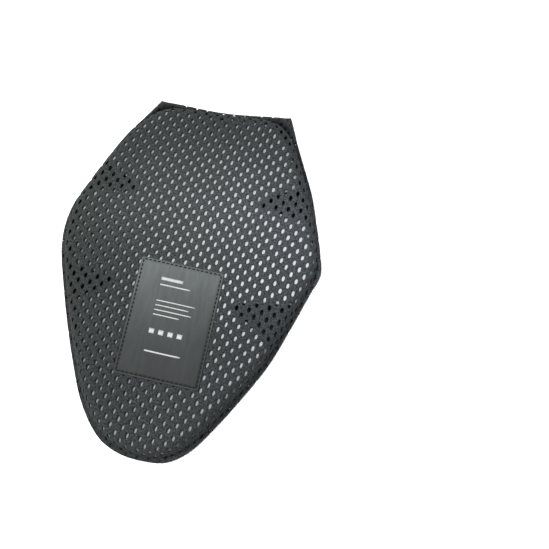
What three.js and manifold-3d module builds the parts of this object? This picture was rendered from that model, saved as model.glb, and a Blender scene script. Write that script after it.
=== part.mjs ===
// An elbow pad lying on its back: a foam sheet with four darts, held in a flat pocket of knitted net.
// Millimetres, +Z up, +Y towards the pocket's mouth. The origin is on the table, under the pad's middle.
import * as THREE from "three";
import { mergeGeometries, mergeVertices } from "three/addons/utils/BufferGeometryUtils.js";
import Module from "manifold-3d";

const wasm = await Module();
wasm.setup();

// Driving sizes
const PAD_LENGTH = 208; // from the round tip to the corners of the mouth
const PAD_WIDTH = 143; // at the widest place
const NET_WALL = 1; // thickness of the knitted net
const FOAM_THICKNESS = 8;
const FIT_GAP = 0.3; // clearance between pieces that touch
const ROLL_WIDTH = 8; // how far in from the flat margin the net rises to its full height
const FOAM_SETBACK = 1; // slack between the net's side and the foam's edge
const SIDE_MARGIN = 0.6; // flat margin of net at the seam along the sides
const CORNER_SOFTENING = 9; // reach of the rounding that leaves a flat flap of net at each mouth corner
const MOUTH_STEP = 2; // the front panel stops this far short of the back panel's mouth edge
const MOUTH_MARGIN = 1.5; // extra flat margin of the front panel at the mouth
const MOUTH_DIP = 2.5; // the mouth edge sags this far between its corners
const LABEL_WIDTH = 44.4;
const LABEL_LENGTH = 63.8;
const LABEL_THICKNESS = 1;
const LABEL_CORNER = 1.5; // corner radius
const LABEL_FROM_TIP = 38.9; // from the pad's tip to the label's lower edge
const DART_TIP_WIDTH = 1.2; // width of a dart's blunt inner end
const NET_PITCH_ACROSS = 6.55; // the real knit's pitch, two holes to each cell
const NET_PITCH_ALONG = 6.65;
const HOLE_WIDTH = 3.2;
const HOLE_LENGTH = 4.8;
const HOLE_CLEARANCE = 1.6; // net left between a hole and the panel's edge or the foot of its rise

// Each modelled hole stands for a square block of real ones, this many pitches a side
const FRONT_BLOCK = 3;
const BACK_BLOCK = 4;

// Fineness
const SIDE_SAMPLES = 84; // steps round the outline, from one mouth corner to the other
const MOUTH_SAMPLES = 12;
const ROLL_STEPS = 5; // steps up the rounded side
const HOLE_SIDES = 8;
const CORNER_SEGMENTS = 4;

// One side of the outline, from the tip to the mouth's corner.
// across is a share of half the width, along a share of the length from the tip.
const OUTLINE = [
  { across: 0.14, along: 0.005 },
  { across: 0.25, along: 0.022 },
  { across: 0.36, along: 0.057 },
  { across: 0.49, along: 0.117 },
  { across: 0.595, along: 0.182 },
  { across: 0.745, along: 0.287 },
  { across: 0.876, along: 0.402 },
  { across: 0.96, along: 0.493 },
  { across: 1.0, along: 0.555 },
  { across: 0.973, along: 0.622 },
  { across: 0.906, along: 0.694 },
  { across: 0.828, along: 0.775 },
  { across: 0.722, along: 0.861 },
  { across: 0.615, along: 0.932 },
  { across: 0.52, along: 1.0 },
];

// Wedges cut into the foam from each side. The inner end and the two ends of the open side are given by
// the same shares; lowAlong and highAlong are where the open side meets the outline.
const DARTS = [
  { tipAcross: 0.474, tipAlong: 0.702, lowAcross: 0.873, lowAlong: 0.68, highAcross: 0.771, highAlong: 0.786 },
  { tipAcross: 0.462, tipAlong: 0.421, lowAcross: 0.79, lowAlong: 0.33, highAcross: 0.915, highAlong: 0.45 },
];
const DART_OVERRUN = 0.4; // share by which a dart's cutter runs on past the outline

const BACK_TOP = NET_WALL;
const FOAM_BOTTOM = BACK_TOP + FIT_GAP;
const RIM_BOTTOM = BACK_TOP + FIT_GAP;
const RIM_TOP = RIM_BOTTOM + NET_WALL;
const NET_RISE = FOAM_THICKNESS + FIT_GAP;
const FRONT_TOP = RIM_TOP + NET_RISE;
const LABEL_BOTTOM = FRONT_TOP + FIT_GAP;

// A place on the pad from its shares: across from the middle line, along from the tip.
function place(across, along) {
  return new THREE.Vector2((across * PAD_WIDTH) / 2, (along - 1 / 2) * PAD_LENGTH);
}

// The closed outline, anticlockwise from the left mouth corner through the tip. The mouth edge is one
// shallow sag between the corners, and step moves it inwards, but not at its corners.
function outlineLoop(step) {
  const right = OUTLINE.map((row) => place(row.across, row.along));
  const left = right.map((point) => new THREE.Vector2(-point.x, point.y)).reverse();
  const side = [...left, place(0, 0), ...right].map((point) => new THREE.Vector3(point.x, point.y, 0));
  const curve = new THREE.CatmullRomCurve3(side, false, "centripetal");
  const points = curve.getSpacedPoints(SIDE_SAMPLES).map((point) => new THREE.Vector2(point.x, point.y));
  const from = points[points.length - 1];
  const to = points[0];
  for (let k = 1; k < MOUTH_SAMPLES; k++) {
    const share = k / MOUTH_SAMPLES;
    const bow = Math.sin(Math.PI * share);
    const point = from.clone().lerp(to, share);
    point.y -= MOUTH_DIP * bow + step * Math.sqrt(bow);
    points.push(point);
  }
  return points;
}

// A loop whose corners are rounded by averaging each point with its neighbours. The averaging is repeated
// until it reaches about as far along the loop as CORNER_SOFTENING.
function softened(points) {
  const count = points.length;
  const spacing = points[0].distanceTo(points[1]);
  const passes = Math.round(2 * (CORNER_SOFTENING / spacing) ** 2);
  let loop = points;
  for (let pass = 0; pass < passes; pass++) {
    const last = loop;
    loop = last.map((point, j) => {
      const middle = last[(j + count - 1) % count].clone().lerp(last[(j + 1) % count], 1 / 2);
      return point.clone().lerp(middle, 1 / 2);
    });
  }
  return loop;
}

// A loop moved inwards by a distance, square to itself.
function insetLoop(points, distance) {
  const count = points.length;
  return points.map((point, j) => {
    const along = points[(j + 1) % count].clone().sub(points[(j + count - 1) % count]);
    return point.clone().add(new THREE.Vector2(-along.y, along.x).setLength(distance));
  });
}

// The front panel's outline, and its foot, where the flat margin ends and the net starts to rise.
function frontEdge() {
  return {
    outline: outlineLoop(MOUTH_STEP),
    foot: insetLoop(softened(outlineLoop(MOUTH_STEP + MOUTH_MARGIN)), SIDE_MARGIN),
  };
}

// A loop raised to one height.
function ringAt(loop, height) {
  return loop.map((point) => new THREE.Vector3(point.x, point.y, height));
}

// Rings up a side that is a quarter of an ellipse, upright at its foot and level at its crest. Its depths
// are measured in from the foot line.
function roundedSide(foot, footDepth, crestDepth, footHeight, rise) {
  return Array.from({ length: ROLL_STEPS + 1 }, (_, k) => {
    const angle = (k / ROLL_STEPS) * (Math.PI / 2);
    const depth = footDepth + (crestDepth - footDepth) * (1 - Math.cos(angle));
    return ringAt(insetLoop(foot, depth), footHeight + rise * Math.sin(angle));
  });
}

// A closed body through rings of equal count. Neighbouring rings are joined by quads, and the first and
// last rings are filled flat.
function bodyThroughRings(rings) {
  const count = rings[0].length;
  const index = [];
  for (let k = 0; k + 1 < rings.length; k++) {
    for (let j = 0; j < count; j++) {
      const next = (j + 1) % count;
      const [a, b] = [k * count + j, k * count + next];
      const [c, d] = [b + count, a + count];
      index.push(a, b, c, a, c, d);
    }
  }
  const lastStart = (rings.length - 1) * count;
  const flat = (ring) => ring.map((point) => new THREE.Vector2(point.x, point.y));
  for (const [a, b, c] of THREE.ShapeUtils.triangulateShape(flat(rings[0]), [])) index.push(a, c, b);
  for (const face of THREE.ShapeUtils.triangulateShape(flat(rings[rings.length - 1]), [])) {
    index.push(...face.map((corner) => corner + lastStart));
  }
  const geometry = new THREE.BufferGeometry();
  const positions = rings.flat().flatMap((point) => point.toArray());
  geometry.setAttribute("position", new THREE.Float32BufferAttribute(positions, 3));
  geometry.setIndex(index);
  return geometry;
}

// A manifold-3d solid of a closed geometry.
function solidOf(geometry) {
  const bare = new THREE.BufferGeometry();
  bare.setAttribute("position", geometry.getAttribute("position"));
  bare.setIndex(geometry.getIndex());
  const merged = mergeVertices(bare);
  const vertProperties = new Float32Array(merged.getAttribute("position").array);
  const triVerts = new Uint32Array(merged.getIndex().array);
  return new wasm.Manifold(new wasm.Mesh({ numProp: 3, vertProperties, triVerts }));
}

// A flat-shaded geometry of a solid.
function geometryOf(solid) {
  const mesh = solid.getMesh();
  const geometry = new THREE.BufferGeometry();
  geometry.setAttribute("position", new THREE.Float32BufferAttribute(mesh.vertProperties, 3));
  geometry.setIndex(new THREE.Uint32BufferAttribute(mesh.triVerts, 1));
  const loose = geometry.toNonIndexed();
  loose.computeVertexNormals();
  return loose;
}

// The distance from a point to a closed loop, negative outside it.
function depthInLoop(point, loop) {
  let nearest = Infinity;
  let inside = false;
  loop.forEach((a, j) => {
    const b = loop[(j + 1) % loop.length];
    const span = b.clone().sub(a);
    const along = THREE.MathUtils.clamp(point.clone().sub(a).dot(span) / span.lengthSq(), 0, 1);
    nearest = Math.min(nearest, a.clone().addScaledVector(span, along).distanceTo(point));
    const crosses = a.y > point.y !== b.y > point.y;
    if (crosses && point.x < a.x + (span.x * (point.y - a.y)) / span.y) inside = !inside;
  });
  return inside ? nearest : -nearest;
}

// A dart's outline on one side, run on past the pad's outline, with a blunt inner end.
function dartLoop(dart, side) {
  const tip = place(side * dart.tipAcross, dart.tipAlong);
  const mouth = [
    place(side * dart.lowAcross, dart.lowAlong),
    place(side * dart.highAcross, dart.highAlong),
  ].map((point) => tip.clone().lerp(point, 1 + DART_OVERRUN));
  const blunt = mouth[1].clone().sub(mouth[0]).setLength(DART_TIP_WIDTH / 2);
  return [tip.clone().sub(blunt), mouth[0], mouth[1], tip.clone().add(blunt)];
}

const DART_LOOPS = DARTS.flatMap((dart) => [-1, 1].map((side) => dartLoop(dart, side)));

// Centres of the net's holes that lie at least clear inside a loop. Rows repeat every pitch, and every
// second row is shifted by half a pitch. No hole falls on the origin or opens into a dart.
function netCentres(block, loop, clear) {
  const across = NET_PITCH_ACROSS * block;
  const halfAlong = (NET_PITCH_ALONG * block) / 2;
  const columns = Math.ceil(PAD_WIDTH / across);
  const rows = Math.ceil(PAD_LENGTH / halfAlong);
  const centres = [];
  for (let row = -rows; row <= rows; row++) {
    const shift = row % 2 === 0 ? across / 2 : 0;
    for (let column = -columns; column <= columns; column++) {
      const centre = new THREE.Vector2(column * across + shift, row * halfAlong);
      const overDart = DART_LOOPS.some((dart) => depthInLoop(centre, dart) > -HOLE_LENGTH / 2);
      if (depthInLoop(centre, loop) > clear && !overDart) centres.push(centre);
    }
  }
  return centres;
}

// Upright oval pins that cut the net's holes.
function netCutter(centres, height) {
  const oval = new THREE.Shape();
  oval.absellipse(0, 0, HOLE_WIDTH / 2, HOLE_LENGTH / 2, 0, Math.PI * 2, false, 0);
  const pin = new THREE.ExtrudeGeometry(oval, {
    depth: height,
    bevelEnabled: false,
    curveSegments: HOLE_SIDES / 2, // an ellipse gets two steps to each
  });
  return solidOf(mergeGeometries(centres.map((centre) => pin.clone().translate(centre.x, centre.y, 0))));
}

// The front panel: a flat margin all round, a rounded rise over the foam's edge, and a flat top.
function frontPanel() {
  const edge = frontEdge();
  const inner = roundedSide(edge.foot, NET_WALL, ROLL_WIDTH, RIM_BOTTOM, NET_RISE).reverse();
  const outer = roundedSide(edge.foot, 0, ROLL_WIDTH, RIM_TOP, NET_RISE);
  const rim = [ringAt(edge.outline, RIM_BOTTOM), ringAt(edge.outline, RIM_TOP)];
  const body = solidOf(bodyThroughRings([...inner, ...rim, ...outer]));
  const centres = netCentres(FRONT_BLOCK, edge.foot, HOLE_LENGTH / 2 + HOLE_CLEARANCE);
  return body.subtract(netCutter(centres, FRONT_TOP + NET_WALL));
}

// The back panel: a flat sheet with the net's holes.
function backPanel() {
  const outline = outlineLoop(0);
  const body = solidOf(bodyThroughRings([ringAt(outline, 0), ringAt(outline, BACK_TOP)]));
  const centres = netCentres(BACK_BLOCK, outline, HOLE_LENGTH / 2 + HOLE_CLEARANCE);
  return body.subtract(netCutter(centres, BACK_TOP + NET_WALL).translate(0, 0, -NET_WALL / 2));
}

// The foam sheet, rounded off at its upper edge, with a dart of each kind cut in from both sides.
function foamInsert() {
  const edge = frontEdge();
  const side = roundedSide(edge.foot, NET_WALL + FOAM_SETBACK, ROLL_WIDTH, FOAM_BOTTOM, FOAM_THICKNESS);
  let foam = solidOf(bodyThroughRings(side));
  for (const loop of DART_LOOPS) {
    const cutter = new THREE.ExtrudeGeometry(new THREE.Shape(loop), { depth: FRONT_TOP, bevelEnabled: false });
    foam = foam.subtract(solidOf(cutter));
  }
  return foam;
}

// The label's sheet, with rounded corners.
function labelGeometry() {
  const [halfWidth, halfLength] = [LABEL_WIDTH / 2, LABEL_LENGTH / 2];
  const sheet = new THREE.Shape();
  sheet.moveTo(-halfWidth + LABEL_CORNER, -halfLength);
  sheet.lineTo(halfWidth - LABEL_CORNER, -halfLength);
  sheet.absarc(halfWidth - LABEL_CORNER, -halfLength + LABEL_CORNER, LABEL_CORNER, -Math.PI / 2, 0);
  sheet.lineTo(halfWidth, halfLength - LABEL_CORNER);
  sheet.absarc(halfWidth - LABEL_CORNER, halfLength - LABEL_CORNER, LABEL_CORNER, 0, Math.PI / 2);
  sheet.lineTo(-halfWidth + LABEL_CORNER, halfLength);
  sheet.absarc(-halfWidth + LABEL_CORNER, halfLength - LABEL_CORNER, LABEL_CORNER, Math.PI / 2, Math.PI);
  sheet.lineTo(-halfWidth, -halfLength + LABEL_CORNER);
  sheet.absarc(-halfWidth + LABEL_CORNER, -halfLength + LABEL_CORNER, LABEL_CORNER, Math.PI, Math.PI * 1.5);
  return new THREE.ExtrudeGeometry(sheet, {
    depth: LABEL_THICKNESS,
    bevelEnabled: false,
    curveSegments: CORNER_SEGMENTS,
  });
}

// A named piece with a finish of its own.
function piece(name, geometry, color, roughness) {
  const mesh = new THREE.Mesh(geometry, new THREE.MeshStandardMaterial({ color, roughness, metalness: 0 }));
  mesh.name = name;
  return mesh;
}

const label = piece("label", labelGeometry(), 0x5a5e5e, 0.55);
label.position.set(0, -PAD_LENGTH / 2 + LABEL_FROM_TIP + LABEL_LENGTH / 2, LABEL_BOTTOM);

const elbowPad = new THREE.Group();
elbowPad.add(
  piece("cover_back", geometryOf(backPanel()), 0x3d4143, 0.9),
  piece("foam_insert", geometryOf(foamInsert()), 0xd2d3d0, 0.85),
  piece("cover_front", geometryOf(frontPanel()), 0x43474a, 0.9),
  label,
);

export default elbowPad;
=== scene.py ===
"""The looks of an elbow pad: a darted foam sheet in a pocket of knitted net, with a label sewn on its front.

The scene is in metres, in the frame of the CAD part: +Z up, +Y towards the pocket's mouth. The shapes are worked
out in millimetres, and make_mesh turns them into metres.
"""

import math

import bmesh
import bpy
import numpy as np
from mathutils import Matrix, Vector
from mathutils.geometry import delaunay_2d_cdt


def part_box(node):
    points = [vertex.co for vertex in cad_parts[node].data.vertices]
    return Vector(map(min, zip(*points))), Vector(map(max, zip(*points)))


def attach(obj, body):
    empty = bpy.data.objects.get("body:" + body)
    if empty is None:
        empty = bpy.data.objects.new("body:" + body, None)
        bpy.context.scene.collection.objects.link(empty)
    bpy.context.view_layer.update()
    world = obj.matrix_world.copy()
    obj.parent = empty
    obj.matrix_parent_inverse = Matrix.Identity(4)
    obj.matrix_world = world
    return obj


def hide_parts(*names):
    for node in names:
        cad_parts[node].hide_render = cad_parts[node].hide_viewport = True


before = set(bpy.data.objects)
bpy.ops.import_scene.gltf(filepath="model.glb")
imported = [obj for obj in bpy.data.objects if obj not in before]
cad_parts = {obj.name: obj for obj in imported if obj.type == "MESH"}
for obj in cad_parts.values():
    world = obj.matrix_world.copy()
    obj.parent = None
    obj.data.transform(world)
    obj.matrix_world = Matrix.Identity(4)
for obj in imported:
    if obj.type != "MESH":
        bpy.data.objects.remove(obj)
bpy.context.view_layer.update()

MM = 0.001


def box_mm(node):
    """A CAD node's lowest and highest corner, in millimetres."""
    low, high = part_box(node)
    return np.array(low) / MM, np.array(high) / MM


BACK_LOW, BACK_HIGH = box_mm("cover_back")
LABEL_LOW, LABEL_HIGH = box_mm("label")
PAD_WIDTH, PAD_LENGTH = (BACK_HIGH - BACK_LOW)[:2]

# The net
NET_THICKNESS = 0.45
PITCH_ACROSS, PITCH_ALONG = 6.55, 6.65  # two holes to each cell of this size
FRONT_HOLE = (1.7, 3.1)
BACK_HOLE = (1.05, 2.0)
HOLE_SQUARENESS = 2.1  # exponent of the hole's oval, 2 for an ellipse
RIM_SINK = 0.1  # how far a hole's rim lies under the strands
HOLE_UNEVENNESS = 0.05  # share by which single holes differ in size
HOLE_WANDER = 0.06  # how far single holes stray from their places
DRIFT, DRIFT_LENGTH = 0.22, 55  # how far the knit wanders from its lattice, and over what length
ROW_LEAN, ROW_TURN, COLUMN_LEAN = 0.021, 0.00052, 0.035
FRONT_ORIGIN, BACK_ORIGIN = (0.4, 0.9), (-4.47, 4.7)
FRONT_RINGS, BACK_RINGS = (0.0, 0.34, 1.0), (0.0, 1.0)  # shares from a hole's rim to its cell's edge
BACK_MIDDLE = 0.36  # height of the back panel's middle layer
SEAM_MIDDLE = 1.12  # the same for the front panel where the two are sewn together
TOP_MIDDLE = 9.85  # the same for the front panel over the foam
SLACK_HEIGHT, SLACK_LENGTH = 0.16, 42
DART_SAG = 0.55
SLACK_END = 5  # how far past the crest the slack runs out
SLACK_SEED, KNIT_SEED, LABEL_SEED, STITCH_SEED = 7, 11, 5, 3

# The front panel's section, from the level top outwards
SHOULDER_RADIUS = 4.6
SLOPE = math.radians(75)
FOOT_RADIUS = 1.2

# How open the net's holes are
SEAM_OPENNESS = 0.65  # share of a hole's size that is left at the seam
HEM_CLOSING = 0.4  # share taken off in the hem along the mouth
CUT_OPENING = 0.9  # share added at the back panel's cut edge

# How dark the net is in places, as shares of its tone: painted shade in the groove along the mouth and on the
# lower roll, and a darker hem along the mouth. A pair is the value along the hem and what a flap adds.
GROOVE_PAINTED_SHADE = {"place": (-0.3, 1.2), "reach": (1.5, 0.4), "dark": (0.8, 0.08)}
HEM_DARK = 0.15
ROLL_PAINTED_SHADE = 0.22
# The back panel's tone, with painted shade under the darts, where the cavity is dark
DART_BACK_PAINTED_SHADE, BACK_TONE = 0.25, 0.95

# The outline
SIDE_MARGIN = 0.6
EDGE_SOFTENING, CORNER_SOFTENING = 5.0, 15.0  # along the sides, and at the mouth's corners
MOUTH_STEP = 1.6
MOUTH_MARGIN = 1.5
MOUTH_DIP = 2.2
FLAP_BULGE = 2.4  # how far the loose flaps at the mouth's corners stand up
FLAP_WIDTHS = (1.8, 6)  # a margin wider than the first is partly a flap, and from the second on wholly
SIDE_SAMPLES = 720
MOUTH_SAMPLES = 120
TIP = (0.03, -0.0045)

# along is a share of the length from the tip, left and right are shares of half the width.
OUTLINE = [
    {"along": 0.001, "left": 0.125, "right": 0.19},
    {"along": 0.021, "left": 0.268, "right": 0.294},
    {"along": 0.051, "left": 0.37, "right": 0.38},
    {"along": 0.116, "left": 0.509, "right": 0.502},
    {"along": 0.183, "left": 0.607, "right": 0.612},
    {"along": 0.288, "left": 0.742, "right": 0.764},
    {"along": 0.404, "left": 0.873, "right": 0.878},
    {"along": 0.495, "left": 0.962, "right": 0.957},
    {"along": 0.558, "left": 0.989, "right": 1.01},
    {"along": 0.625, "left": 0.975, "right": 0.968},
    {"along": 0.697, "left": 0.909, "right": 0.903},
    {"along": 0.779, "left": 0.822, "right": 0.822},
    {"along": 0.865, "left": 0.718, "right": 0.706},
    {"along": 0.933, "left": 0.604, "right": 0.614},
    {"along": 0.983, "left": 0.524, "right": 0.518},
]
MOUTH_RIGHT = {"across": 0.53, "along": 1.0}

# The foam
FOAM_BOTTOM, FOAM_TOP = 0.85, 9.52
FOAM_SETBACK = 2.6
FOAM_GAP = 0.4  # between foam and net on the slope, square to the net
FOAM_GRID = 1.7
FOAM_RINGS = (0.35, 1.1, 2.2)  # insets of the rows of points along the foam's edge
FOAM_EDGE_WIDTH, FOAM_EDGE_DEPTH = 3.4, 3.4
DART_LIP = 0.5  # how far the foam is lower right at a dart
DART_BLUNTNESS = 3.4
DART_REACH = 1.5  # how far a dart runs on, as a share of its length
WALL_POINTS = 16
# One row for each dart, in shares as above: the inner end, then the lower and upper end of the open side.
DARTS = [
    {"tip": (0.443, 0.706), "low": (0.873, 0.68), "high": (0.771, 0.786)},
    {"tip": (-0.506, 0.69), "low": (-0.873, 0.668), "high": (-0.79, 0.752)},
    {"tip": (0.428, 0.417), "low": (0.79, 0.33), "high": (0.915, 0.45)},
    {"tip": (-0.495, 0.425), "low": (-0.8, 0.343), "high": (-0.915, 0.45)},
]
# Where the foam's edge is set back by more or less, on the right (1), the left (-1) or both (0). The band's
# four shares of the length are where that starts, where it is whole, and where it starts and ends to fade.
FOAM_SETBACK_CHANGES = [
    {"side": 1, "more": 2.4, "band": (0.6, 0.7, 0.93, 1.02)},
    {"side": -1, "more": 2.6, "band": (0.12, 0.32, 0.68, 0.8)},
    {"side": 0, "more": 0.8, "band": (0.94, 0.975, 1.1, 1.2)},
    {"side": 1, "more": -1.0, "band": (-0.2, -0.1, 0.45, 0.55)},
    {"side": -1, "more": -0.9, "band": (-0.2, -0.1, 0.06, 0.14)},
]
# How far the foam lies under its level: a soft dip round each place, in millimetres.
FOAM_LEVEL_DROP = 0.05
FOAM_DIPS = [
    {"place": (-0.75, 0.5), "depth": 1.0, "reach": 32.0},
    {"place": (-0.6, 0.8), "depth": 0.5, "reach": 24.0},
    {"place": (0.0, 0.97), "depth": 1.1, "reach": 26.0},
    {"place": (0.0, 0.12), "depth": 0.95, "reach": 36.0},
    {"place": (-0.55, 0.25), "depth": 1.0, "reach": 26.0},
    {"place": (0.5, 0.3), "depth": 0.45, "reach": 22.0},
]

# The label
LABEL_LIFT = 0.06
LABEL_THICKNESS = 0.55
LABEL_UNDERSIDE = 0.02
LABEL_CORNER = 1.2
LABEL_ROUNDING = 0.5  # width of its rounded edge
LABEL_SHIFT = (0.65, -0.27)
LABEL_MARGIN = (0.39, 0.81)  # by how much half the label's size is larger than in the CAD part
LABEL_SKEW = (-0.0146, -0.0287)  # how far its long and short edges lean
LABEL_STEPS = (0, 0.12, 0.3, 0.6, 0.95, 1.35, 1.75, 2.3, 3.1)  # of its mesh, from the edge inwards
LABEL_SPACING = 1.3  # of its mesh in the middle
SWELL_HEIGHT, SWELL_LENGTH, SWELL_START = 0.1, 24, 5  # whole from the third on, measured from the edge
STITCH_INSET = 1.35
STITCH_PITCH = 2.4
STITCH_LENGTH = 1.65
STITCH_RADIUS = 0.42
STITCH_FLATNESS = 0.7
STITCH_SWAY = 0.05
STITCH_LIFT = 0.05
SEAM_DEPTH, SEAM_REACH = 0.36, 0.45  # the pressed line under the stitches
PUCKER_HEIGHT, PUCKER_REACH = 0.1, 2.2
# Painted shade along the pressed line under the stitches
SEAM_PAINTED_SHADE, SEAM_PAINTED_SHADE_REACH = 0.15, 0.5
# Painted highlight on the label's turned-in rim, turning to painted shade towards the upper end
RIM_STEP = (1.0, 0.5)  # distances from the edge between which the turned-in rim's tone starts
RIM_PAINTED_LIGHT, RIM_PAINTED_LIGHT_FALL = 0.25, 0.6  # its tone in the middle, and what it loses towards the upper end

# Printed marks on the label: generic bars, in shares of the label's half sizes from its centre.
PRINT = [
    {"x": (-0.42, 0.1), "y": (0.66, 0.712)},
    {"x": (-0.42, 0.3), "y": (0.57, 0.592)},
    {"x": (-0.42, 0.5), "y": (0.3, 0.318)},
    {"x": (-0.42, 0.38), "y": (0.22, 0.238)},
    {"x": (-0.42, 0.46), "y": (0.14, 0.158)},
    {"x": (-0.42, 0.2), "y": (0.06, 0.078)},
    {"x": (-0.42, -0.3), "y": (-0.25, -0.17)},
    {"x": (-0.2, -0.08), "y": (-0.25, -0.17)},
    {"x": (0.02, 0.14), "y": (-0.25, -0.17)},
    {"x": (0.24, 0.36), "y": (-0.25, -0.17)},
    {"x": (-0.42, 0.42), "y": (-0.56, -0.535)},
]
PRINT_THICKNESS = 0.04
PRINT_SECTIONS = 9


def smoothstep(low, high, x):
    """0 below low, 1 above high, and 3s^2 - 2s^3 of the share s in between."""
    s = np.clip((x - low) / (high - low), 0, 1)
    return s * s * (3 - 2 * s)


def place(across, along):
    """The point in millimetres of a share of half the width and a share of the length from the tip."""
    return np.array([across * PAD_WIDTH / 2, (along - 0.5) * PAD_LENGTH])


def share_along(points):
    """The share of the length from the tip at which points lie, the reverse of place."""
    return points[:, 1] / PAD_LENGTH + 0.5


def resampled(line, count):
    """count + 1 points evenly spaced by arc length along an open line."""
    walked = np.concatenate([[0], np.cumsum(np.linalg.norm(np.diff(line, axis=0), axis=1))])
    at = np.linspace(0, walked[-1], count + 1)
    return np.stack([np.interp(at, walked, line[:, k]) for k in range(2)], axis=1)


def through(points, steps=24):
    """An open centripetal Catmull-Rom line through points: each span is the blend of two parabolas, with knots
    spaced by the square root of the distance between points."""
    p = np.vstack([2 * points[0] - points[1], points, 2 * points[-1] - points[-2]])
    knots = np.concatenate([[0], np.cumsum(np.linalg.norm(np.diff(p, axis=0), axis=1) ** 0.5)])
    spans = []
    for k in range(1, len(p) - 2):
        k0, k1, k2, k3 = knots[k - 1 : k + 3]
        t = np.linspace(k1, k2, steps, endpoint=False)[:, None]
        a1 = (k1 - t) / (k1 - k0) * p[k - 1] + (t - k0) / (k1 - k0) * p[k]
        a2 = (k2 - t) / (k2 - k1) * p[k] + (t - k1) / (k2 - k1) * p[k + 1]
        a3 = (k3 - t) / (k3 - k2) * p[k + 1] + (t - k2) / (k3 - k2) * p[k + 2]
        b1 = (k2 - t) / (k2 - k0) * a1 + (t - k0) / (k2 - k0) * a2
        b2 = (k3 - t) / (k3 - k1) * a2 + (t - k1) / (k3 - k1) * a3
        spans.append((k2 - t) / (k2 - k1) * b1 + (t - k1) / (k2 - k1) * b2)
    return np.vstack(spans + [points[-1:]])


def outline_loop(step):
    """The pad's closed outline, anticlockwise from the left mouth corner through the tip. The mouth edge sags by
    MOUTH_DIP times a squared sine, and step moves it inwards, but not at its corners."""
    left = [place(-row["left"], row["along"]) for row in OUTLINE][::-1]
    right = [place(row["right"], row["along"]) for row in OUTLINE[:-1]]
    corner = place(MOUTH_RIGHT["across"], MOUTH_RIGHT["along"])
    side = resampled(through(np.array([*left, place(*TIP), *right, corner])), SIDE_SAMPLES)
    share = np.arange(1, MOUTH_SAMPLES)[:, None] / MOUTH_SAMPLES
    bow = np.sin(np.pi * share)
    mouth = side[-1] * (1 - share) + side[0] * share
    mouth[:, 1:] -= MOUTH_DIP * bow**2 + step * np.sqrt(bow)
    return np.vstack([side, mouth])


def softened(loop, reach):
    """A loop with its corners rounded: averaging each point with its neighbours, repeated 2 (reach / spacing)^2
    times."""
    spacing = np.linalg.norm(loop[1] - loop[0])
    for _ in range(round(2 * (reach / spacing) ** 2)):
        loop = loop / 2 + (np.roll(loop, 1, axis=0) + np.roll(loop, -1, axis=0)) / 4
    return loop


def inset(loop, distance):
    """A loop moved inwards, square to the line between each point's neighbours."""
    along = np.roll(loop, -1, axis=0) - np.roll(loop, 1, axis=0)
    inwards = np.stack([-along[:, 1], along[:, 0]], axis=1) / np.linalg.norm(along, axis=1, keepdims=True)
    return loop + inwards * np.reshape(distance, (-1, 1))


def loop_field(points, loop):
    """For each point its distance to a closed loop, negative inside, and its nearest place on it, as an index
    with a fraction. The distance is the least of those to the loop's spans, and the sign comes from how often a
    ray sideways crosses them."""
    span = np.roll(loop, -1, axis=0) - loop
    squared = (span**2).sum(1)
    rise = np.where(np.abs(span[:, 1]) < 1e-9, 1e-9, span[:, 1])
    distances, places = [], []
    for part in np.array_split(points, len(points) // 3000 + 1):
        away = part[:, None, :] - loop
        share = np.clip((away * span).sum(2) / squared, 0, 1)
        distance = np.hypot(away[..., 0] - share * span[:, 0], away[..., 1] - share * span[:, 1])
        nearest = distance.argmin(1)
        rows = np.arange(len(part))
        above = away[..., 1] < 0
        crosses = (above != np.roll(above, -1, axis=1)) & (away[..., 0] < span[:, 0] * away[..., 1] / rise)
        sign = np.where(crosses.sum(1) % 2, -1, 1)
        distances.append(distance[rows, nearest] * sign)
        places.append(nearest + share[rows, nearest])
    return np.concatenate(distances), np.concatenate(places)


def on_loop(loop, places):
    """The points of a loop at indices with fractions."""
    low = np.floor(places).astype(int)
    share = (places - low)[:, None]
    return loop[low % len(loop)] * (1 - share) + loop[(low + 1) % len(loop)] * share


def waves(points, wavelength, count, rng):
    """Smooth noise of about unit size: a sum of plane sine waves with seeded directions and phases."""
    total = np.zeros(len(points))
    for _ in range(count):
        angle, phase = rng.uniform(0, 2 * np.pi, 2)
        length = wavelength * rng.uniform(0.7, 1.5)
        total += np.sin(2 * np.pi * (points @ [np.cos(angle), np.sin(angle)]) / length + phase)
    return total / np.sqrt(count / 2)


def make_mesh(name, points, faces, uv=None, shade=None):
    """A smooth-shaded mesh of points in millimetres. uv holds one pair in millimetres for each point, and shade
    one number, kept as the attribute Shade."""
    mesh = bpy.data.meshes.new(name)
    mesh.from_pydata((np.asarray(points) * MM).tolist(), [], [list(face) for face in faces])
    if uv is not None:
        index = np.zeros(len(mesh.loops), np.int32)
        mesh.loops.foreach_get("vertex_index", index)
        layer = mesh.uv_layers.new(name="Flat")
        layer.data.foreach_set("uv", (np.asarray(uv)[index] * MM).astype(np.float32).ravel())
    if shade is not None:
        attribute = mesh.attributes.new("Shade", "FLOAT", "POINT")
        attribute.data.foreach_set("value", np.asarray(shade, np.float32))
    mesh.polygons.foreach_set("use_smooth", np.ones(len(mesh.polygons), bool))
    mesh.update()
    piece = bpy.data.objects.new(name, mesh)
    bpy.context.scene.collection.objects.link(piece)
    return piece


# The front panel's lines: its edge, the foot at which it starts to rise, and the crest where it is level

BACK_OUTLINE = outline_loop(0)
FRONT_OUTLINE = outline_loop(MOUTH_STEP)


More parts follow.
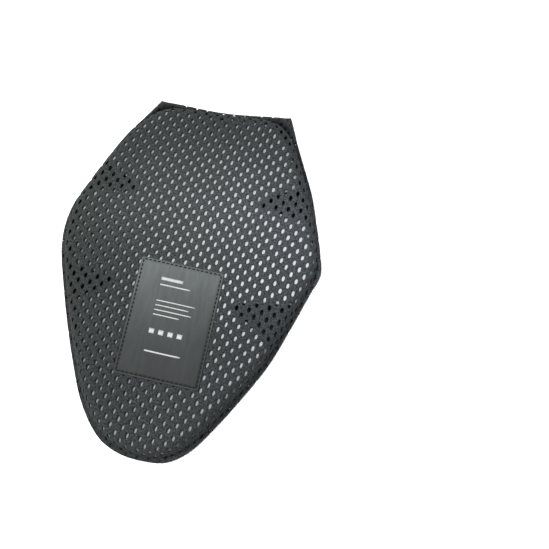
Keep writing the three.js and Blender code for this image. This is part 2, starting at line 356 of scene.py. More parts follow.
def foot_loop():
    """The line at which the front panel starts to rise: inside the outline by a small margin, and rounded much
    more at the mouth, where it leaves a flat flap of net at each corner."""
    loop = outline_loop(MOUTH_STEP + MOUTH_MARGIN)
    mouth = smoothstep(0.68, 0.86, share_along(loop))[:, None]
    near, far = (softened(loop, reach) for reach in (EDGE_SOFTENING, CORNER_SOFTENING))
    return inset(softened(near * (1 - mouth) + far * mouth, 3.0), SIDE_MARGIN)


FOOT = foot_loop()

ARCS = SHOULDER_RADIUS + FOOT_RADIUS
SLOPE_LENGTH = (TOP_MIDDLE - SEAM_MIDDLE - ARCS * (1 - math.cos(SLOPE))) / math.sin(SLOPE)
ROLL_RUN = ARCS * math.sin(SLOPE) + SLOPE_LENGTH * math.cos(SLOPE)
ROLL_ARC = ARCS * SLOPE + SLOPE_LENGTH
CREST = inset(FOOT, ROLL_RUN)


def section(t):
    """The front panel's section at arc length t past its level top: a convex arc, a straight slope, a concave arc
    and a flat margin. Gives the run outwards, the drop, and the angle of the surface."""
    turn = np.clip(t / SHOULDER_RADIUS, 0, SLOPE)
    straight = np.clip(t - SHOULDER_RADIUS * SLOPE, 0, SLOPE_LENGTH)
    back = np.clip((t - SHOULDER_RADIUS * SLOPE - SLOPE_LENGTH) / FOOT_RADIUS, 0, SLOPE)
    flat = np.maximum(t - ROLL_ARC, 0)
    run = SHOULDER_RADIUS * np.sin(turn) + straight * math.cos(SLOPE) + flat
    run += FOOT_RADIUS * (math.sin(SLOPE) - np.sin(SLOPE - back))
    drop = SHOULDER_RADIUS * (1 - np.cos(turn)) + straight * math.sin(SLOPE)
    drop += FOOT_RADIUS * (np.cos(SLOPE - back) - math.cos(SLOPE))
    return run, drop, turn - back


def dart_loops():
    """Each dart as a four-sided loop that runs on past the pad's outline, with a blunt inner end."""
    loops = []
    for dart in DARTS:
        tip, low, high = (place(*dart[key]) for key in ("tip", "low", "high"))
        wide = (high - low) / np.linalg.norm(high - low) * DART_BLUNTNESS / 2
        ends = tip + (low - tip) * DART_REACH, tip + (high - tip) * DART_REACH
        loops.append(np.array([tip - wide, *ends, tip + wide]))
    return loops


DART_LOOPS = dart_loops()


def slack(points):
    """How far the front panel's top lies from its level: slow seeded waves, and a shallow sag over each dart that
    fades out from the dart's edge over a few millimetres."""
    lift = SLACK_HEIGHT * waves(points, SLACK_LENGTH, 7, np.random.default_rng(SLACK_SEED))
    for loop in DART_LOOPS:
        distance, _ = loop_field(points, loop)
        lift -= DART_SAG * smoothstep(3.5, -3.0, distance)
    return lift


def seamed(room):
    """How open a hole is near the seam: full from 2.2 mm inside the edge, less so further out."""
    return SEAM_OPENNESS + (1 - SEAM_OPENNESS) * smoothstep(0.6, 2.2, room)


def front_surface(points):
    """Takes points of the front panel's flat pattern to the pad. Inside the crest line they stay in place. Outside
    it the distance from the crest is an arc length of the section, cut off at the pattern's edge. Where the
    margin is wide, at the mouth's corners, it bulges by half a sine wave. Also gives the surface's unit normals,
    the room left to the pattern's edge, the net's shade, which holds painted shade in the groove along the mouth
    and on the lower roll and is darker on the hem along the mouth, and how open its holes are, which is less near
    the seam and in the hem."""
    distance, places = loop_field(points, CREST)
    crest, foot, outline = (on_loop(loop, places) for loop in (CREST, FOOT, FRONT_OUTLINE))
    width = np.linalg.norm(outline - foot, axis=1)
    room = ROLL_ARC + width - distance
    run, drop, angle = section(np.clip(distance, 0, ROLL_ARC + width))
    outwards = (foot - crest) / np.linalg.norm(foot - crest, axis=1, keepdims=True)
    margin = (outline - foot) / np.maximum(width, 1e-6)[:, None]
    over = np.maximum(run - ROLL_RUN, 0)
    moved = crest + outwards * np.minimum(run, ROLL_RUN)[:, None] + margin * over[:, None]
    flat = np.where((distance > 0)[:, None], moved, points)
    flap = smoothstep(*FLAP_WIDTHS, width)
    bulge = FLAP_BULGE * flap * np.sin(np.pi * over / np.maximum(width, 1e-6))
    level = 1 - smoothstep(0, SLACK_END, distance)
    height = TOP_MIDDLE - drop + slack(flat) * level + bulge
    normals = np.column_stack([outwards * np.sin(angle)[:, None], np.cos(angle)])

    # Painted shade in the groove along the mouth and on the lower roll; the hem along the mouth is darker too
    past_foot = distance - ROLL_ARC
    middle, reach, dark = (value + more * flap for value, more in GROOVE_PAINTED_SHADE.values())
    groove = dark * np.exp(-(((past_foot - middle) / reach) ** 2))
    right = smoothstep(5, 45, flat[:, 0])
    mouth = smoothstep(0.84, 0.92, share_along(flat) + 0.09 * right)
    hem = smoothstep(0.2, 1.4, past_foot)
    roll = smoothstep(0.55, 0.4, share_along(flat)) * smoothstep(4.5, 0.5, room)
    shade = 1 - mouth * (HEM_DARK * (1 - right) * hem + groove) - ROLL_PAINTED_SHADE * roll
    return np.column_stack([flat, height]), normals, room, shade, seamed(room) * (1 - HEM_CLOSING * mouth * hem)


def back_surface(points):
    """Takes points of the back panel to its flat sheet: those outside the outline go to their nearest place on it.
    Also gives its normals, the room left to the edge, the net's shade, which holds painted shade under the darts,
    and how open its holes are, which is more at the mouth's cut edge."""
    distance, places = loop_field(points, BACK_OUTLINE)
    flat = np.where((distance >= 0)[:, None], on_loop(BACK_OUTLINE, places), points)
    height = np.full(len(points), BACK_MIDDLE)
    normals = np.tile([0.0, 0.0, 1.0], (len(points), 1))
    to_dart = np.min([loop_field(flat, dart)[0] for dart in DART_LOOPS], axis=0)
    # Painted shade under the darts, where the cavity over the back panel is dark
    shade = DART_BACK_PAINTED_SHADE + (BACK_TONE - DART_BACK_PAINTED_SHADE) * smoothstep(-2, 2, to_dart)
    cut = smoothstep(0.9, 0.96, share_along(flat))
    return np.column_stack([flat, height]), normals, -distance, shade, seamed(-distance) * (1 + CUT_OPENING * cut)


def leaned(points):
    """The knit's own coordinates on the pattern: rows tilt by ROW_LEAN, more so up the pad by ROW_TURN, and
    columns lean by COLUMN_LEAN. The knit is stretched sideways on the right and drawn in at the top, and slow
    seeded waves of DRIFT are added."""
    stretch = 1 + 0.03 * smoothstep(10, 70, points[:, 0]) - 0.035 * smoothstep(30, 90, points[:, 1])
    x = points[:, 0] * stretch + COLUMN_LEAN * points[:, 1]
    y = points[:, 1] + points[:, 0] * (ROW_LEAN + ROW_TURN * points[:, 1])
    rng = np.random.default_rng(KNIT_SEED)
    drift = [DRIFT * waves(points, DRIFT_LENGTH, 6, rng) for _ in range(2)]
    return np.column_stack([x, y]) + np.column_stack(drift)


def oval(size, corners):
    """A closed squared oval: cosine and sine, each to the power 2 / HOLE_SQUARENESS with its sign kept."""
    around = np.arange(corners) / corners * 2 * np.pi
    circle = np.stack([np.cos(around), np.sin(around)], axis=1)
    return np.array(size) / 2 * np.sign(circle) * np.abs(circle) ** (2 / HOLE_SQUARENESS)


# A cell of the knit: a diamond's corners and edge points, in sixths of the pitch
CELL_EDGE = [
    *((3, 0), (2, 1), (1, 2), (0, 3), (-1, 2), (-2, 1)),
    *((-3, 0), (-2, -1), (-1, -2), (0, -3), (1, -2), (2, -1)),
]


def net_panel(name, surface, origin, rings, reach, hole):
    """A knitted panel. Its pattern is split into diamond cells, and each cell is an oval hole with rings of quads
    round it. Ring shares run from 0 at the hole to 1 at the cell's edge, and the first ring sinks by RIM_SINK.
    Cells past the pattern's edge are squeezed onto it, so that holes which it cuts are left as notches. The
    surface says how open the holes are."""
    columns, rows = math.ceil(reach[0] / PITCH_ACROSS), math.ceil(reach[1] / PITCH_ALONG)
    column, row = np.meshgrid(np.arange(-columns, columns + 1), np.arange(-2 * rows, 2 * rows + 1))
    # In units of a sixth of the pitch, so that neighbouring cells share their corners and edge points exactly
    centre = np.stack([6 * column.ravel() + 3 * (row.ravel() % 2), 3 * row.ravel()], axis=1)
    pitch = np.array([PITCH_ACROSS, PITCH_ALONG]) / 6
    centre = centre[(np.abs(centre * pitch) < np.array(reach)).all(1)]
    rng = np.random.default_rng(KNIT_SEED)
    size = 1 + HOLE_UNEVENNESS * rng.standard_normal((len(centre), 1, 2)).clip(-2, 2)
    size *= surface(leaned(centre * pitch) + np.array(origin))[4][:, None, None]
    stray = HOLE_WANDER * rng.standard_normal((len(centre), 1, 2))
    keys = centre[:, None, :] + np.array(CELL_EDGE)
    corners = keys * pitch
    sides = len(CELL_EDGE)
    holes = centre[:, None, :] * pitch + oval(hole, sides) * size + stray
    unique, shared = np.unique(keys.reshape(-1, 2), axis=0, return_inverse=True)
    inner = [holes + (corners - holes) * share for share in rings[:-1]]
    points = np.vstack([unique * pitch, *[ring.reshape(-1, 2) for ring in inner]])
    count = sides * len(centre)
    layers = [len(unique) + k * count + np.arange(count).reshape(-1, sides) for k in range(len(inner))]
    layers.append(shared.reshape(-1, sides))
    sink = np.zeros(len(points))
    sink[layers[0].ravel()] = RIM_SINK
    faces = np.vstack(
        [
            np.stack([a, b, np.roll(b, -1, axis=1), np.roll(a, -1, axis=1)], axis=2).reshape(-1, 4)
            for a, b in zip(layers[:-1], layers[1:])
        ]
    )
    pattern = leaned(points) + np.array(origin)
    shaped, normals, room, shade, _ = surface(pattern)
    shaped = shaped - normals * sink[:, None]
    faces = faces[(room > 0)[faces].any(1)]
    used, faces = np.unique(faces, return_inverse=True)
    piece = make_mesh(name, shaped[used], faces.reshape(-1, 4), pattern[used], shade[used])
    clean = bmesh.new()
    clean.from_mesh(piece.data)
    bmesh.ops.remove_doubles(clean, verts=clean.verts, dist=0.03 * MM)
    bmesh.ops.dissolve_degenerate(clean, edges=clean.edges, dist=0.01 * MM)
    clean.to_mesh(piece.data)
    clean.free()
    thicken = piece.modifiers.new("Thickness", "SOLIDIFY")
    thicken.thickness = NET_THICKNESS * MM
    thicken.offset = 0
    return piece


def foam_loop():
    """The foam's outline without its darts: the foot line moved inwards, by more or less along parts of it."""
    along = share_along(FOOT)
    side = np.where(FOOT[:, 0] > 0, 1, -1)
    setback = np.full(len(FOOT), FOAM_SETBACK)
    for row in FOAM_SETBACK_CHANGES:
        start, whole, fade, end = row["band"]
        inside = (side == row["side"]) | (row["side"] == 0)
        setback += row["more"] * inside * smoothstep(start, whole, along) * smoothstep(end, fade, along)
    return inset(FOOT, setback)[::2]


def foam_height(points, distance):
    """The foam's upper surface: its level, less the soft dips, less the greater of two edges: a quarter of an
    ellipse, and the front panel's own section, which it lies under by an even gap square to the net."""
    share = np.clip(1 - distance / FOAM_EDGE_WIDTH, 0, 1)
    edge = FOAM_EDGE_DEPTH * (1 - np.sqrt(np.maximum(1 - share**2, 0)))
    run, drop, angle = section(np.linspace(0, SHOULDER_RADIUS * SLOPE + SLOPE_LENGTH, 400))
    from_crest, _ = loop_field(points, CREST)
    edge = np.maximum(edge, np.interp(from_crest, run, drop + FOAM_GAP * (1 / np.cos(angle) - 1)))
    low = np.full(len(points), FOAM_LEVEL_DROP)
    for dip in FOAM_DIPS:
        away = points - place(*dip["place"])
        low += dip["depth"] * np.exp(-(away**2).sum(1) / dip["reach"] ** 2)
    return FOAM_TOP - edge - low + slack(points) * (1 - smoothstep(0, SLACK_END, from_crest))


def on_wall(inner, outer, reach):
    """Points from a dart wall's inner end to its place nearest the point reach."""
    direction = (outer - inner) / np.linalg.norm(outer - inner)
    return inner + direction * ((reach - inner) @ direction) * np.linspace(0, 1, WALL_POINTS)[:, None]


def darted(loop):
    """A loop cut by each dart, with a straight line on either side of it."""
    for dart in DART_LOOPS:
        distance, _ = loop_field(loop, dart)
        start = int(np.argmax((distance < 0) & (np.roll(distance, 1) >= 0)))
        kept = np.roll(loop, -start, axis=0)[int((distance < 0).sum()) :]
        # The outline runs up the right side and down the left one
        first, second = (dart[:2], dart[:1:-1])[:: 1 if dart[0][0] > 0 else -1]
        loop = np.vstack([kept, on_wall(*first, kept[-1])[::-1], on_wall(*second, kept[0])])
    return loop


def foam_piece():
    """The foam sheet: a triangulated top inside the darted outline, walls down to the bottom, and a flat bottom.
    Its shade is 1 on top and 0 at the bottom, and its material paints shade down the walls from it."""
    outer = foam_loop()
    loop = darted(outer)
    columns, rows = math.ceil(PAD_WIDTH / FOAM_GRID / 2), math.ceil(PAD_LENGTH / FOAM_GRID / 2)
    column, row = np.meshgrid(np.arange(-columns, columns + 1), np.arange(-rows, rows + 1))
    grid = np.stack([column.ravel() + (row.ravel() % 2) / 2, row.ravel()], axis=1) * FOAM_GRID
    rings = [inset(outer, step) for step in FOAM_RINGS]
    rings = [ring[loop_field(ring, loop)[0] < -0.3] for ring in rings]
    points = np.vstack([loop, grid[loop_field(grid, loop)[0] < -2.6], *rings])
    edges = [(k, (k + 1) % len(loop)) for k in range(len(loop))]
    inside = [list(range(len(loop)))]
    flat, _, faces, *_ = delaunay_2d_cdt([Vector(p) for p in points], edges, inside, 1, 1e-5)
    flat = np.array([tuple(p) for p in flat])
    faces = np.array([f for f in faces if len(f) == 3])
    to_dart = np.min([np.abs(loop_field(flat, dart)[0]) for dart in DART_LOOPS], axis=0)
    height = foam_height(flat, np.maximum(-loop_field(flat, outer)[0], 0))
    height -= DART_LIP * (1 - smoothstep(0, 0.9, to_dart))
    count = len(flat)
    sides = np.vstack([faces[:, [0, 1]], faces[:, [1, 2]], faces[:, [2, 0]]])
    _, first_at, times = np.unique(np.sort(sides, axis=1), axis=0, return_index=True, return_counts=True)
    border = sides[first_at[times == 1]]
    bottom = np.column_stack([flat, np.full(count, FOAM_BOTTOM)])
    walls = np.stack([border[:, 1], border[:, 0], border[:, 0] + count, border[:, 1] + count], axis=1)
    faces = [*faces.tolist(), *walls.tolist(), *(faces[:, ::-1] + count).tolist()]
    points = np.vstack([np.column_stack([flat, height]), bottom])
    return make_mesh("foam_sheet", points, faces, shade=np.repeat([1.0, 0.0], count))


def eased_steps(half):
    """Positions across a strip from -half to half, at LABEL_STEPS from both ends and about LABEL_SPACING apart in
    the middle."""
    ends = half - np.array(LABEL_STEPS)
    middle = np.linspace(-ends[-1], ends[-1], round(2 * ends[-1] / LABEL_SPACING) + 1)[1:-1]
    return np.concatenate([-ends, middle, ends[::-1]])


def label_frame():
    """The label's centre and half sizes, from the CAD label's box."""
    centre = (LABEL_LOW + LABEL_HIGH)[:2] / 2 + np.array(LABEL_SHIFT)
    return centre, (LABEL_HIGH - LABEL_LOW)[:2] / 2 + np.array(LABEL_MARGIN)


def label_place(points):
    """Takes points of the flat label to its place on the pad, a little askew."""
    centre, _ = label_frame()
    return points @ np.array([[1, LABEL_SKEW[1]], [LABEL_SKEW[0], 1]]) + centre


def net_top(points):
    """The height of the front panel's upper face where it is level."""
    return TOP_MIDDLE + slack(points) + NET_THICKNESS / 2


def label_height(flat):
    """The label's upper surface over its flat sheet: a rounded edge, a pressed line under the stitches with small
    puckers between them, and slow seeded waves."""
    _, half = label_frame()
    past = np.maximum(np.abs(flat) - (half - LABEL_CORNER), 0)
    near = np.minimum(half - np.abs(flat), LABEL_CORNER).min(1)
    edge = np.where((past > 0).all(1), LABEL_CORNER - np.linalg.norm(past, axis=1), near)
    from_edge = (half - np.abs(flat)).min(1)
    share = np.clip(1 - edge / LABEL_ROUNDING, 0, 1)
    rounded = np.sqrt(np.maximum(1 - share**2, 0))
    along = np.where(np.argmin(half - np.abs(flat), axis=1) == 0, flat[:, 1], flat[:, 0])
    pull = SEAM_DEPTH * np.exp(-(((from_edge - STITCH_INSET) / SEAM_REACH) ** 2))
    pucker = PUCKER_HEIGHT * np.cos(2 * np.pi * along / STITCH_PITCH) * np.exp(-((from_edge / PUCKER_REACH) ** 2))
    swell = SWELL_HEIGHT * waves(flat, SWELL_LENGTH, 6, np.random.default_rng(LABEL_SEED))
    height = LABEL_LIFT + LABEL_THICKNESS * rounded - pull + pucker * rounded
    return height + swell * smoothstep(0, SWELL_START, from_edge)


def label_piece():
    """The label's sheet: a rectangular grid with rounded corners, its upper surface from label_height, closed
    below. Its shade holds painted shade along the stitches, and a painted highlight on the turned-in rim that is
    strongest at the lower end and turns to painted shade at the upper one."""
    _, half = label_frame()
    xs, ys = (eased_steps(size) for size in half)
    x, y = np.meshgrid(xs, ys)
    flat = np.stack([x.ravel(), y.ravel()], axis=1)
    past = np.abs(flat) - (half - LABEL_CORNER)
    drawn_in = past.max(1) / np.maximum(np.linalg.norm(past, axis=1), 1e-9)
    rounded = np.sign(flat) * (half - LABEL_CORNER + past * drawn_in[:, None])
    flat = np.where((past > 0).all(1)[:, None], rounded, flat)
    on_pad = label_place(flat)
    top = net_top(on_pad)
    count = len(flat)
    index = np.arange(count).reshape(len(ys), len(xs))
    quads = np.stack([index[:-1, :-1], index[:-1, 1:], index[1:, 1:], index[1:, :-1]], axis=2).reshape(-1, 4)
    edge = np.concatenate([index[0, :-1], index[:-1, -1], index[-1, :0:-1], index[:0:-1, 0]])
    points = np.vstack(
        [
            np.column_stack([on_pad, top + label_height(flat)]),
            np.column_stack([on_pad, top + LABEL_UNDERSIDE]),
        ]
    )
    after = np.roll(edge, -1)
    walls = np.stack([after, edge, edge + count, after + count], axis=1)
    faces = [*quads.tolist(), *walls.tolist(), *(quads[:, ::-1] + count).tolist()]
    from_edge = (half - np.abs(flat)).min(1)
    # Painted highlight on the turned-in rim, turning to painted shade at the upper end, and painted shade along the
    # stitches
    rim = smoothstep(*RIM_STEP, from_edge) * (RIM_PAINTED_LIGHT - RIM_PAINTED_LIGHT_FALL * (flat[:, 1] / half[1]) ** 3)
    seam = SEAM_PAINTED_SHADE * np.exp(-(((from_edge - STITCH_INSET) / SEAM_PAINTED_SHADE_REACH) ** 2))
    return make_mesh("label_sheet", points, faces, np.vstack([flat, flat]), np.tile(1 + rim - seam, 2))


def capsules(starts, ends, radius, flatness, sides=8, rings=6):
    """Rounded rods between pairs of points: rings at cosine-spaced places whose radius is the square root of a half
    sine wave, lowered to flatness of their height."""
    axis = ends - starts
    forward = axis / np.linalg.norm(axis, axis=1, keepdims=True)
    sideways = np.column_stack([-forward[:, 1], forward[:, 0], np.zeros(len(axis))])
    sideways /= np.linalg.norm(sideways, axis=1, keepdims=True)
    up = np.cross(forward, sideways)
    angle = np.linspace(0, np.pi, rings)
    along = (1 - np.cos(angle)) / 2
    swell = np.maximum(np.sin(angle), 0.0) ** 0.5
    around = np.arange(sides) / sides * 2 * np.pi
    points = (
        starts[:, None, None, :]
        + axis[:, None, None, :] * along[:, None, None]
        + radius
        * swell[:, None, None]
        * (
            sideways[:, None, None, :] * np.cos(around)[:, None]
            + up[:, None, None, :] * np.sin(around)[:, None] * flatness
        )
    )
    count = len(axis)
    index = np.arange(count * rings * sides).reshape(count, rings, sides)
    a, b = index[:, :-1], index[:, 1:]
    faces = np.stack([a, np.roll(a, -1, axis=2), np.roll(b, -1, axis=2), b], axis=3).reshape(-1, 4)
    return points.reshape(-1, 3), faces


def label_stitches():
    """The seam round the label: one short rod for each stitch, evenly spaced on a rectangle inside the label's
    edge. Each end of a stitch sways sideways by a seeded amount."""
    _, half = label_frame()
    corners = np.array([(-1, -1), (1, -1), (1, 1), (-1, 1)]) * (half - STITCH_INSET)
    rng = np.random.default_rng(STITCH_SEED)
    starts, ends = [], []
    for a, b in zip(corners, np.roll(corners, -1, axis=0)):
        length = np.linalg.norm(b - a)
        direction = (b - a) / length
        sideways = np.array([-direction[1], direction[0]])
        number = round(length / STITCH_PITCH)
        middle = a + (b - a) * ((np.arange(number) + 0.5) / number)[:, None]
        for line, way in ((starts, -1), (ends, 1)):
            sway = sideways * rng.normal(0, STITCH_SWAY, (number, 2))[:, :1]
            line.append(middle + way * direction * STITCH_LENGTH / 2 + sway)
    rods = []
    for flat in (np.vstack(starts), np.vstack(ends)):
        on_pad = label_place(flat)
        rods.append(np.column_stack([on_pad, net_top(on_pad) + label_height(flat) + STITCH_LIFT]))
    points, faces = capsules(*rods, STITCH_RADIUS, STITCH_FLATNESS)
    return make_mesh("label_stitches", points, faces)


def label_print():
    """The printed marks: thin flat boxes that follow the label's surface, cut along their length."""
    _, half = label_frame()
    points, faces = [], []
    for bar in PRINT:
        xs = np.linspace(*bar["x"], PRINT_SECTIONS) * half[0]
        ys = np.array(bar["y"]) * half[1]
        flat = np.array([(x, y) for x in xs for y in ys])
        on_pad = label_place(flat)
        low = net_top(on_pad) + label_height(flat)
        base = sum(len(p) for p in points)
        points += [np.column_stack([on_pad, low + side * PRINT_THICKNESS]) for side in (1, -1)]
        count = len(flat)
        k = np.arange(PRINT_SECTIONS - 1) * 2 + base
        faces += np.stack([k, k + 2, k + 3, k + 1], axis=1).tolist()
        faces += (np.stack([k, k + 1, k + 3, k + 2], axis=1) + count).tolist()
        faces += np.stack([k, k + count, k + 2 + count, k + 2], axis=1).tolist()
        faces += np.stack([k + 1, k + 3, k + 3 + count, k + 1 + count], axis=1).tolist()
        faces.append([base, base + 1, base + 1 + count, base + count])
        last = base + 2 * (PRINT_SECTIONS - 1)
        faces.append([last, last + count, last + 1 + count, last + 1])
    return make_mesh("label_print", np.vstack(points), faces)


# Materials


def new_group(name, outputs):
    """An empty shader node group with a Vector input and the given number outputs, and its input and output
    nodes."""
    group = bpy.data.node_groups.new(name, "ShaderNodeTree")
    group.interface.new_socket("Vector", in_out="INPUT", socket_type="NodeSocketVector")
    for output in outputs:
        group.interface.new_socket(output, in_out="OUTPUT", socket_type="NodeSocketFloat")
    return group, group.nodes.new("NodeGroupInput"), group.nodes.new("NodeGroupOutput")


def add(tree, kind, inputs=None, **settings):
    """A node with settings and inputs. An input is a value, or a socket to link from."""
    node = tree.nodes.new(kind)
    for key, value in settings.items():
        setattr(node, key, value)
    for key, value in (inputs or {}).items():
        if isinstance(value, bpy.types.NodeSocket):
            tree.links.new(value, node.inputs[key])
        else:
            node.inputs[key].default_value = value
    return node


def mixed(tree, factor, low, high):
    """Two colours blended by a factor."""
    node = add(tree, "ShaderNodeMix", {0: factor}, data_type="RGBA")
    node.inputs[6].default_value, node.inputs[7].default_value = (*low, 1), (*high, 1)
    return node.outputs[2]


def ranged(tree, value, low, high, to_low=0.0, to_high=1.0, **settings):
    """A value taken from the range low to high to the range to_low to to_high, and kept inside it."""
    limits = {"From Min": low, "From Max": high, "To Min": to_low, "To Max": to_high}
    return add(tree, "ShaderNodeMapRange", {"Value": value, **limits}, **settings).outputs[0]


def noise(tree, where, scale, detail=2.0, **settings):
    """Soft noise over the places where."""
    inputs = {"Vector": where, "Scale": scale, "Detail": detail}
    return add(tree, "ShaderNodeTexNoise", inputs, **settings).outputs[0]


def cells(tree, where, scale, **settings):
    """The distance to the nearest of many scattered points."""
    return add(tree, "ShaderNodeTexVoronoi", {"Vector": where, "Scale": scale}, **settings).outputs["Distance"]


def stretched(tree, where, across, along):
    """Places multiplied by one scale across and another along."""
    return add(tree, "ShaderNodeMapping", {"Vector": where, "Scale": (across, along, 1)}).outputs[0]


def knit_group():
    """Fine knitted loops: small cells drawn out along the columns, with fibre noise. Gives the height of the yarn
    and a tone round 1, which coarser noise makes uneven."""
    group, start, end = new_group("Knit loops", ("Height", "Tone"))
    where = start.outputs[0]
    loops = cells(group, stretched(group, where, 1900, 1350), 1.0, voronoi_dimensions="2D")
    fibres, patches = (noise(group, where, scale, noise_dimensions="2D") for scale in (5200.0, 950.0))
    round_loop = ranged(group, loops, 0.0, 0.75, 1.0, 0.0)
    height = add(group, "ShaderNodeMath", {0: fibres, 1: 0.35, 2: round_loop}, operation="MULTIPLY_ADD")
    tone = ranged(group, round_loop, 0.0, 1.0, 0.45, 1.3)
    speckle = ranged(group, patches, 0.3, 0.7, 0.45, 1.55)
    both = add(group, "ShaderNodeMath", {0: tone, 1: speckle}, operation="MULTIPLY")
    group.links.new(height.outputs[0], end.inputs["Height"])
    group.links.new(both.outputs[0], end.inputs["Tone"])
    return group


def drift_group():
    """Slow unevenness of a piece's colour: soft noise as a factor round 1."""
    group, start, end = new_group("Slow drift", ("Tone",))
    tone = ranged(group, noise(group, start.outputs[0], 22.0), 0.3, 0.7, 0.9, 1.1)
    group.links.new(tone, end.inputs["Tone"])
    return group


def painted_light_pool(tree, where, centre, stretch, reach, tones):
    """A painted pool of light over the pad as a factor: the first tone at centre, the second from reach outwards,
    and a smooth step in between, with distances multiplied by stretch."""
    scaled = add(tree, "ShaderNodeVectorMath", {0: where, 1: (*stretch, 0)}, operation="MULTIPLY")
    middle = (centre[0] * stretch[0], centre[1] * stretch[1], 0)
    away = add(tree, "ShaderNodeVectorMath", {0: scaled.outputs[0], 1: middle}, operation="DISTANCE")
    return ranged(tree, away.outputs["Value"], 0.0, reach, *tones, interpolation_type="SMOOTHSTEP")


def new_material(name, roughness):
    """A material with a bare Principled shader, and its tree and shader node."""
    material = bpy.data.materials.new(name)
    material.use_nodes = True
    tree = material.node_tree
    shader = tree.nodes["Principled BSDF"]
    shader.inputs["Roughness"].default_value = roughness
    return material, tree, shader


def object_place(tree):
    """The place on a piece, in the part's own metres."""
    return add(tree, "ShaderNodeTexCoord").outputs["Object"]


def flat_place(tree):
    """The place on a sheet laid flat, in metres."""
    return add(tree, "ShaderNodeUVMap", uv_map="Flat").outputs[0]


def shade_of(tree):
    """The tone that a piece's mesh holds."""
    return add(tree, "ShaderNodeAttribute", attribute_name="Shade").outputs["Fac"]


def slow_tone(tree, where):
    """The tone of the slow drift over the places where."""
    return add(tree, "ShaderNodeGroup", {0: where}, node_tree=SLOW).outputs["Tone"]


def toned(tree, colour, *factors):
    """A colour multiplied by factors that vary over the surface."""
    for factor in factors:
        colour = add(tree, "ShaderNodeVectorMath", {0: colour, "Scale": factor}, operation="SCALE").outputs[0]
    return colour


def surfaced(tree, shader, colour, height, strength, distance):
    """Gives a shader its colour, and a bump of that strength and distance from a height."""
    bump = add(tree, "ShaderNodeBump", {"Height": height, "Strength": strength, "Distance": distance})
    tree.links.new(colour, shader.inputs["Base Color"])
    tree.links.new(bump.outputs[0], shader.inputs["Normal"])


KNIT = knit_group()
SLOW = drift_group()


def net_material():
    """Charcoal knitted polyester: fine loops in colour and bump over the flat pattern's UV, a painted pool of
    light, a painted cool tint of light towards the right, and the tone held in the mesh's Shade, painted shade in
    places.
    """
    material, tree, shader = new_material("Net", 0.8)
    knit = add(tree, "ShaderNodeGroup", {0: flat_place(tree)}, node_tree=KNIT)
    where = object_place(tree)
    # Painted pool of light: the net is brighter round the middle of the pad
    painted_light = painted_light_pool(tree, where, (0.025, 0.029), (0.66, 1.18), 0.078, (1.45, 0.79))
    across = ranged(tree, add(tree, "ShaderNodeSeparateXYZ", {0: where}).outputs[0], -0.06, 0.06)
    # Charcoal, with a painted cool tint of light that turns bluer towards the right
    dye_and_painted_cool_light = mixed(tree, across, (0.0272, 0.0322, 0.0312), (0.0272, 0.0322, 0.036))
    colour = toned(tree, dye_and_painted_cool_light, knit.outputs["Tone"], slow_tone(tree, where), painted_light, shade_of(tree))
    surfaced(tree, shader, colour, knit.outputs["Height"], 0.6, 0.00022)
    shader.inputs["Specular IOR Level"].default_value = 0.2
    return material


def foam_material():
    """Light grey cellular foam with small pores in colour and bump, painted shade lower down its cut edges, and a
    painted pool of light over the pad.
    """
    material, tree, shader = new_material("Foam", 0.9)
    where = object_place(tree)
    pores = cells(tree, where, 1500.0)
    dark = ranged(tree, pores, 0.1, 0.4, 0.7, 1.0)
    # Painted pool of light: the foam is brighter round the middle of the pad
    painted_light = painted_light_pool(tree, where, (0.045, 0.005), (0.93, 1.06), 0.105, (1.33, 0.67))
    # Painted shade down the foam's cut walls, from the Shade that runs from 1 on top to 0 at the bottom
    wall = ranged(tree, shade_of(tree), 0.84, 0.99, 0.06, 1.0)
    colour = toned(tree, (0.272, 0.28, 0.285), dark, slow_tone(tree, where), painted_light, wall)
    surfaced(tree, shader, colour, pores, 0.4, 0.0003)
    return material


def label_material():
    """Dark grey satin tape: lengthwise streaks, a painted sheen that pales its tone towards the upper end and the
    left side, and a fine woven bump."""
    material, tree, shader = new_material("Label", 0.5)
    where = flat_place(tree)
    streaks = noise(tree, stretched(tree, where, 430, 70), 1.0, 3.0, noise_dimensions="2D")
    tone = ranged(tree, streaks, 0.3, 0.7, 0.89, 1.1)
    weave = cells(tree, stretched(tree, where, 5200, 3600), 1.0, voronoi_dimensions="2D")
    parts = add(tree, "ShaderNodeSeparateXYZ", {0: where})
    # Painted sheen: the tone grows towards the upper end and towards the left side
    share = ranged(tree, parts.outputs[1], -0.034, 0.032)
    curve = add(tree, "ShaderNodeMath", {0: share, 1: 1.8}, operation="POWER")
    fade = add(tree, "ShaderNodeMath", {0: curve.outputs[0], 1: 1.43, 2: 0.4}, operation="MULTIPLY_ADD")
    side = ranged(tree, parts.outputs[0], -0.022, 0.022, 1.09, 0.94)
    tones = tone, slow_tone(tree, where), fade.outputs[0], side, shade_of(tree)
    surfaced(tree, shader, toned(tree, (0.0425, 0.0478, 0.0472), *tones), weave, 0.25, 0.0001)
    shader.inputs["Specular IOR Level"].default_value = 0.08
    return material


def thread_material():
    """Dark spun thread: fine noise in colour and bump."""
    material, tree, shader = new_material("Thread", 0.75)
    fibres = noise(tree, object_place(tree), 4500.0)
    colour = toned(tree, (0.009, 0.01, 0.0102), ranged(tree, fibres, 0.3, 0.7, 0.7, 1.3))
    surfaced(tree, shader, colour, fibres, 0.5, 0.0001)
    shader.inputs["Specular IOR Level"].default_value = 0.1
    return material


def print_material():
    """Pale printing ink, thin in places where the tape's weave shows."""
    material, tree, shader = new_material("Print", 0.6)
    worn = ranged(tree, noise(tree, object_place(tree), 2600.0), 0.35, 0.65, 0.6, 1.05)
    tree.links.new(toned(tree, (0.42, 0.43, 0.43), worn), shader.inputs["Base Color"])
    return material


# The pieces

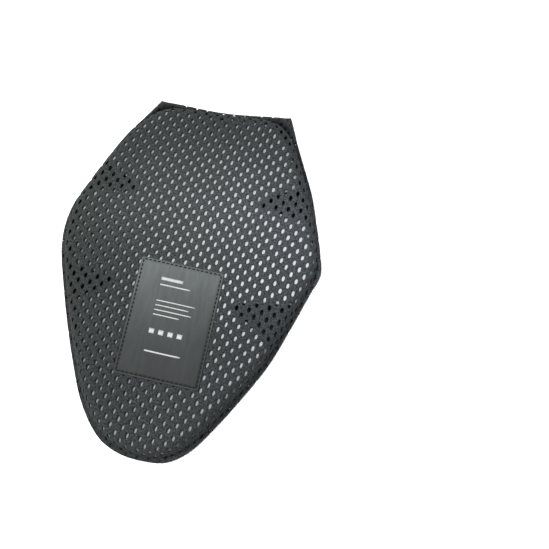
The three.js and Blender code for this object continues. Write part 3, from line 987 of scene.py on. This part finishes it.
front = net_panel(
    "net_front",
    front_surface,
    origin=FRONT_ORIGIN,
    rings=FRONT_RINGS,
    reach=(PAD_WIDTH / 2 + 14, PAD_LENGTH / 2 + 14),
    hole=FRONT_HOLE,
)
back = net_panel(
    "net_back",
    back_surface,
    origin=BACK_ORIGIN,
    rings=BACK_RINGS,
    reach=(PAD_WIDTH / 2 + 8, PAD_LENGTH / 2 + 8),
    hole=BACK_HOLE,
)
foam = foam_piece()
label = label_piece()
stitches = label_stitches()
printed = label_print()

NET = net_material()
for piece, material, slot in (
    (front, NET, "net"),
    (back, NET, "net"),
    (foam, foam_material(), "foam"),
    (label, label_material(), "label"),
    (stitches, thread_material(), "label"),
    (printed, print_material(), "label"),
):
    piece.data.materials.append(material)
    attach(piece, "root")
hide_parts("cover_front")
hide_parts("cover_back")
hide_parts("foam_insert")
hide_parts("label")

# The floor, the light and the camera

FLOOR_REACH, FLOOR_HEIGHT = 3000.0, -0.02


def floor_piece():
    """A pale plain floor just under the pad, with faint noise in its colour."""
    around = ((-1, -1), (1, -1), (1, 1), (-1, 1))
    corners = [(x * FLOOR_REACH, y * FLOOR_REACH, FLOOR_HEIGHT) for x, y in around]
    floor = make_mesh("floor", corners, [(0, 1, 2, 3)])
    material, tree, shader = new_material("Floor", 0.9)
    faint = ranged(tree, slow_tone(tree, object_place(tree)), 0.9, 1.1, 0.995, 1.005)
    tree.links.new(toned(tree, (0.8, 0.8, 0.8), faint), shader.inputs["Base Color"])
    shader.inputs["Specular IOR Level"].default_value = 0.0
    floor.data.materials.append(material)
    return floor


def sun(name, towards, strength, angle):
    """A distant white light that comes from the direction towards, softened to a disc of that angle."""
    data = bpy.data.lights.new(name, "SUN")
    data.energy, data.angle = strength, math.radians(angle)
    lamp = bpy.data.objects.new(name, data)
    lamp.rotation_mode = "QUATERNION"
    lamp.rotation_quaternion = Vector(towards).to_track_quat("Z", "Y")
    bpy.context.scene.collection.objects.link(lamp)
    return lamp


floor = floor_piece()
lights = [
    sun("key", towards=(-0.32, 0.14, 1.0), strength=4.8, angle=16),
    sun("fill", towards=(-0.3, -0.7, 0.8), strength=1.3, angle=40),
]

world = bpy.data.worlds.new("World")
world.use_nodes = True
sky = world.node_tree.nodes["Background"]
sky.inputs["Color"].default_value = (1, 1, 1, 1)
sky.inputs["Strength"].default_value = 0.4
bpy.context.scene.world = world

AZIMUTH, ELEVATION = math.radians(11.5), math.radians(68)
TARGET = Vector((0.0479, 0.0075, 0.0))
DISTANCE = 0.541
FOCAL_LENGTH, SENSOR_WIDTH = 65.6, 36
backwards = Vector(
    (
        math.sin(AZIMUTH) * math.cos(ELEVATION),
        -math.cos(AZIMUTH) * math.cos(ELEVATION),
        math.sin(ELEVATION),
    )
)
camera = bpy.data.objects.new("camera", bpy.data.cameras.new("camera"))
camera.data.lens, camera.data.sensor_width = FOCAL_LENGTH, SENSOR_WIDTH
camera.data.clip_start, camera.data.clip_end = 0.01, 20
camera.location = TARGET + backwards * DISTANCE
camera.rotation_mode = "QUATERNION"
camera.rotation_quaternion = backwards.to_track_quat("Z", "Y")
bpy.context.scene.collection.objects.link(camera)
bpy.context.scene.camera = camera
bpy.context.scene.view_settings.view_transform = "Standard"
